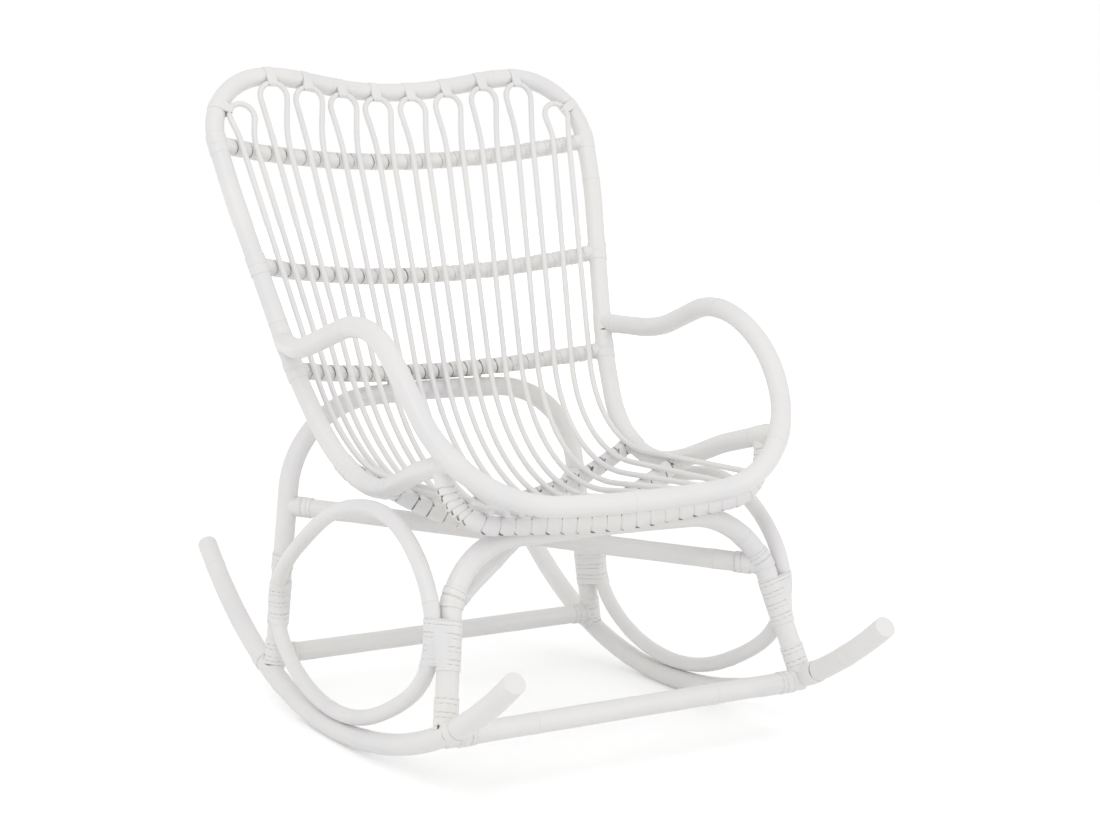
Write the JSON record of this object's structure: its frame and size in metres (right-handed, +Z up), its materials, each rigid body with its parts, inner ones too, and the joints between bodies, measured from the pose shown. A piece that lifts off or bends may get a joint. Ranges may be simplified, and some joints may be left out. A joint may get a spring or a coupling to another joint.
{
  "type": "rattan rocking chair",
  "caption": "White painted rattan rocking chair with a camel back hoop, bent loop spindles, looped arms, round side rings and crossed braces.",
  "frame": {"origin": "on the floor, in the middle of the chair's box", "axes": "+Z up, -Y is the way the sitter faces, +X is the sitter's left"},
  "size_m": [0.67, 1.0184, 0.9516],
  "materials": {
    "white_pole": "satin white paint over peeled rattan pole",
    "wound_bar": "satin white paint over a bar wound with flat cane",
    "spindle_rattan": "satin white paint over thin rattan core",
    "cane_lashing": "satin white paint over wound flat cane",
    "screw_steel": "zinc plated wood screw"
  },
  "bodies": {
    "root": {"arch_screws": "screw_steel", "arm_end_lashings": "cane_lashing", "arm_hoop": "white_pole", "arm_screws": "screw_steel", "back_bar_lashings": "cane_lashing", "back_bar_lower": "wound_bar", "back_bar_middle": "wound_bar", "back_bar_top": "wound_bar", "back_hoop": "white_pole", "bar_screws": "screw_steel", "brace_crossing_lashing": "cane_lashing", "brace_end_lashings": "cane_lashing", "brace_screws": "screw_steel", "diagonal_brace_lower": "white_pole", "diagonal_brace_upper": "white_pole", "foot_screws": "screw_steel", "front_foot_lashings": "cane_lashing", "front_leg_arch": "white_pole", "front_ring_lashings": "cane_lashing", "front_stretcher": "white_pole", "hoop_end_lashings": "cane_lashing", "rear_foot_lashings": "cane_lashing", "rear_leg_arch": "white_pole", "rear_ring_lashings": "cane_lashing", "rear_stretcher": "white_pole", "ring_screws": "screw_steel", "rocker_left": "white_pole", "rocker_right": "white_pole", "seat_bar_front": "wound_bar", "seat_bar_lashings": "cane_lashing", "seat_bar_middle": "wound_bar", "seat_bar_rear": "wound_bar", "side_ring_left": "white_pole", "side_ring_right": "white_pole", "spindle_loop_01": "spindle_rattan", "spindle_loop_02": "spindle_rattan", "spindle_loop_03": "spindle_rattan", "spindle_loop_04": "spindle_rattan", "spindle_loop_05": "spindle_rattan", "spindle_loop_06": "spindle_rattan", "spindle_loop_07": "spindle_rattan", "spindle_loop_08": "spindle_rattan", "spindle_loop_09": "spindle_rattan", "spindle_loop_10": "spindle_rattan", "stretcher_end_lashings": "cane_lashing", "stretcher_screws": "screw_steel", "top_rail_lashings": "cane_lashing"}
  },
  "joints": []
}
